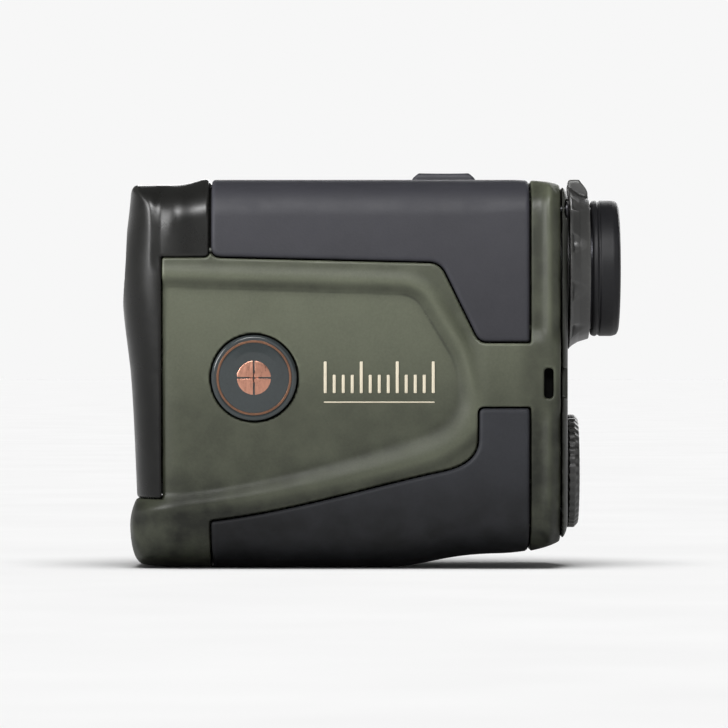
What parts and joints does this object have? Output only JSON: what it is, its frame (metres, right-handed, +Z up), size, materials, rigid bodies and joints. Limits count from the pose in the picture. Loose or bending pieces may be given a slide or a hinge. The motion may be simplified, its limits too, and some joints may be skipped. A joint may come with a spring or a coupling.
{
  "type": "laser rangefinder",
  "caption": "Pocket laser rangefinder monocular with rubber armour, twist-up eyecup, diopter ring, top buttons and a screw-capped battery tube.",
  "frame": {"origin": "middle of the footprint, on the plane the flat foot stands on", "axes": "+X from the objective to the eye along the sight axis, +Z up, -Y the user's left side"},
  "size_m": [0.0979, 0.038, 0.078],
  "materials": {
    "olive_casing": "fine moulded grain",
    "rubber_armour": "matt, lightly stippled",
    "black_plastic": "satin black",
    "anodised_metal": "black anodised",
    "lens_glass": "coated",
    "steel": "bright",
    "black_steel": "black oxide",
    "brass": "gilt",
    "seal_rubber": "greased",
    "circuit_board": "solder mask",
    "chip": "moulded epoxy",
    "flex_film": "polyimide film",
    "cell_wrap": "printed sleeve",
    "casting": "as cast",
    "emblem": "domed lacquer over a copper-coloured ring"
  },
  "bodies": {
    "rangefinder": {"casing_left": "olive_casing", "casing_right": "olive_casing", "armour_top": "rubber_armour", "armour_bottom": "rubber_armour", "front_bezel": "black_plastic", "rear_plate": "black_plastic", "rear_screw_1": "black_steel", "rear_screw_2": "black_steel", "rear_screw_3": "black_steel", "rear_screw_4": "black_steel", "emblem_left": "emblem", "emblem_right": "emblem", "chassis": "casting", "objective_cell": "anodised_metal", "objective_crown_lens": "lens_glass", "objective_flint_lens": "lens_glass", "objective_retaining_ring": "anodised_metal", "objective_seal": "seal_rubber", "receiver_cell": "anodised_metal", "receiver_lens": "lens_glass", "receiver_retaining_ring": "anodised_metal", "laser_detector": "steel", "detector_board": "circuit_board", "prism_cage": "casting", "entrance_prism": "lens_glass", "roof_prism": "lens_glass", "display_module": "lens_glass", "field_stop": "anodised_metal", "laser_diode": "brass", "eyepiece_barrel": "anodised_metal", "main_board": "circuit_board", "processor": "chip", "storage_capacitor": "cell_wrap", "button_board": "circuit_board", "range_switch": "steel", "mode_switch": "steel", "button_flex": "flex_film", "battery_tube": "black_plastic", "battery_contact_front": "brass"},
    "range_button": {"range_button": "rubber_armour"},
    "mode_button": {"mode_button": "rubber_armour"},
    "diopter_ring": {"diopter_ring": "black_plastic"},
    "ocular": {"ocular_cell": "black_plastic", "field_lens": "lens_glass", "eye_lens": "lens_glass", "diopter_drive_pin": "steel"},
    "eyecup_sleeve": {"eyecup_cam_sleeve": "anodised_metal"},
    "eyecup": {"eyecup_core": "anodised_metal", "eyecup_pin": "steel", "eyecup_rubber": "rubber_armour"},
    "battery": {"battery": "cell_wrap"},
    "cap_contact": {"battery_contact_plate": "brass", "battery_spring": "steel"},
    "cap_seal": {"battery_cap_seal": "seal_rubber"},
    "battery_cap": {"battery_cap": "black_plastic"}
  },
  "joints": [
    {"name": "range_button_press", "type": "slide", "parent": "rangefinder", "child": "range_button", "axis": [0, 0, -1], "range_m": [0, 0.0008], "stiffness_N_per_m": 1500, "springref_m": -0.0006},
    {"name": "mode_button_press", "type": "slide", "parent": "rangefinder", "child": "mode_button", "axis": [0, 0, -1], "range_m": [0, 0.0006], "stiffness_N_per_m": 1500, "springref_m": -0.0006},
    {"name": "diopter_turn", "type": "hinge", "parent": "rangefinder", "child": "diopter_ring", "pos_m": [0.04, 0, 0.0591], "axis": [1, 0, 0], "range_deg": [-50, 50]},
    {"name": "diopter_focus", "type": "slide", "parent": "rangefinder", "child": "ocular", "axis": [1, 0, 0], "range_m": [-0.0006, 0.0006]},
    {"name": "eyecup_twist", "type": "hinge", "parent": "rangefinder", "child": "eyecup_sleeve", "pos_m": [0.044, 0, 0.0591], "axis": [1, 0, 0], "range_deg": [0, 110]},
    {"name": "eyecup_extend", "type": "slide", "parent": "eyecup_sleeve", "child": "eyecup", "axis": [1, 0, 0], "range_m": [0, 0.004]},
    {"name": "battery_withdraw", "type": "slide", "parent": "rangefinder", "child": "battery", "axis": [1, 0, 0], "range_m": [0, 0.032]},
    {"name": "battery_cap_lift_off", "type": "slide", "parent": "battery", "child": "cap_contact", "axis": [1, 0, 0], "range_m": [0, 0.014]},
    {"name": "battery_cap_back_off", "type": "slide", "parent": "cap_contact", "child": "cap_seal", "axis": [1, 0, 0], "range_m": [0, 0.0015]},
    {"name": "battery_cap_turn", "type": "hinge", "parent": "cap_seal", "child": "battery_cap", "pos_m": [0.039, 0, 0.0189], "axis": [1, 0, 0], "range_deg": [0, 540]}
  ],
  "couplings": [
    {"joint": "diopter_focus", "follows": "diopter_turn", "m_per_rad": 0.00068755},
    {"joint": "eyecup_extend", "follows": "eyecup_twist", "m_per_rad": 0.0020835},
    {"joint": "battery_cap_back_off", "follows": "battery_cap_turn", "m_per_rad": 0.00015915}
  ]
}
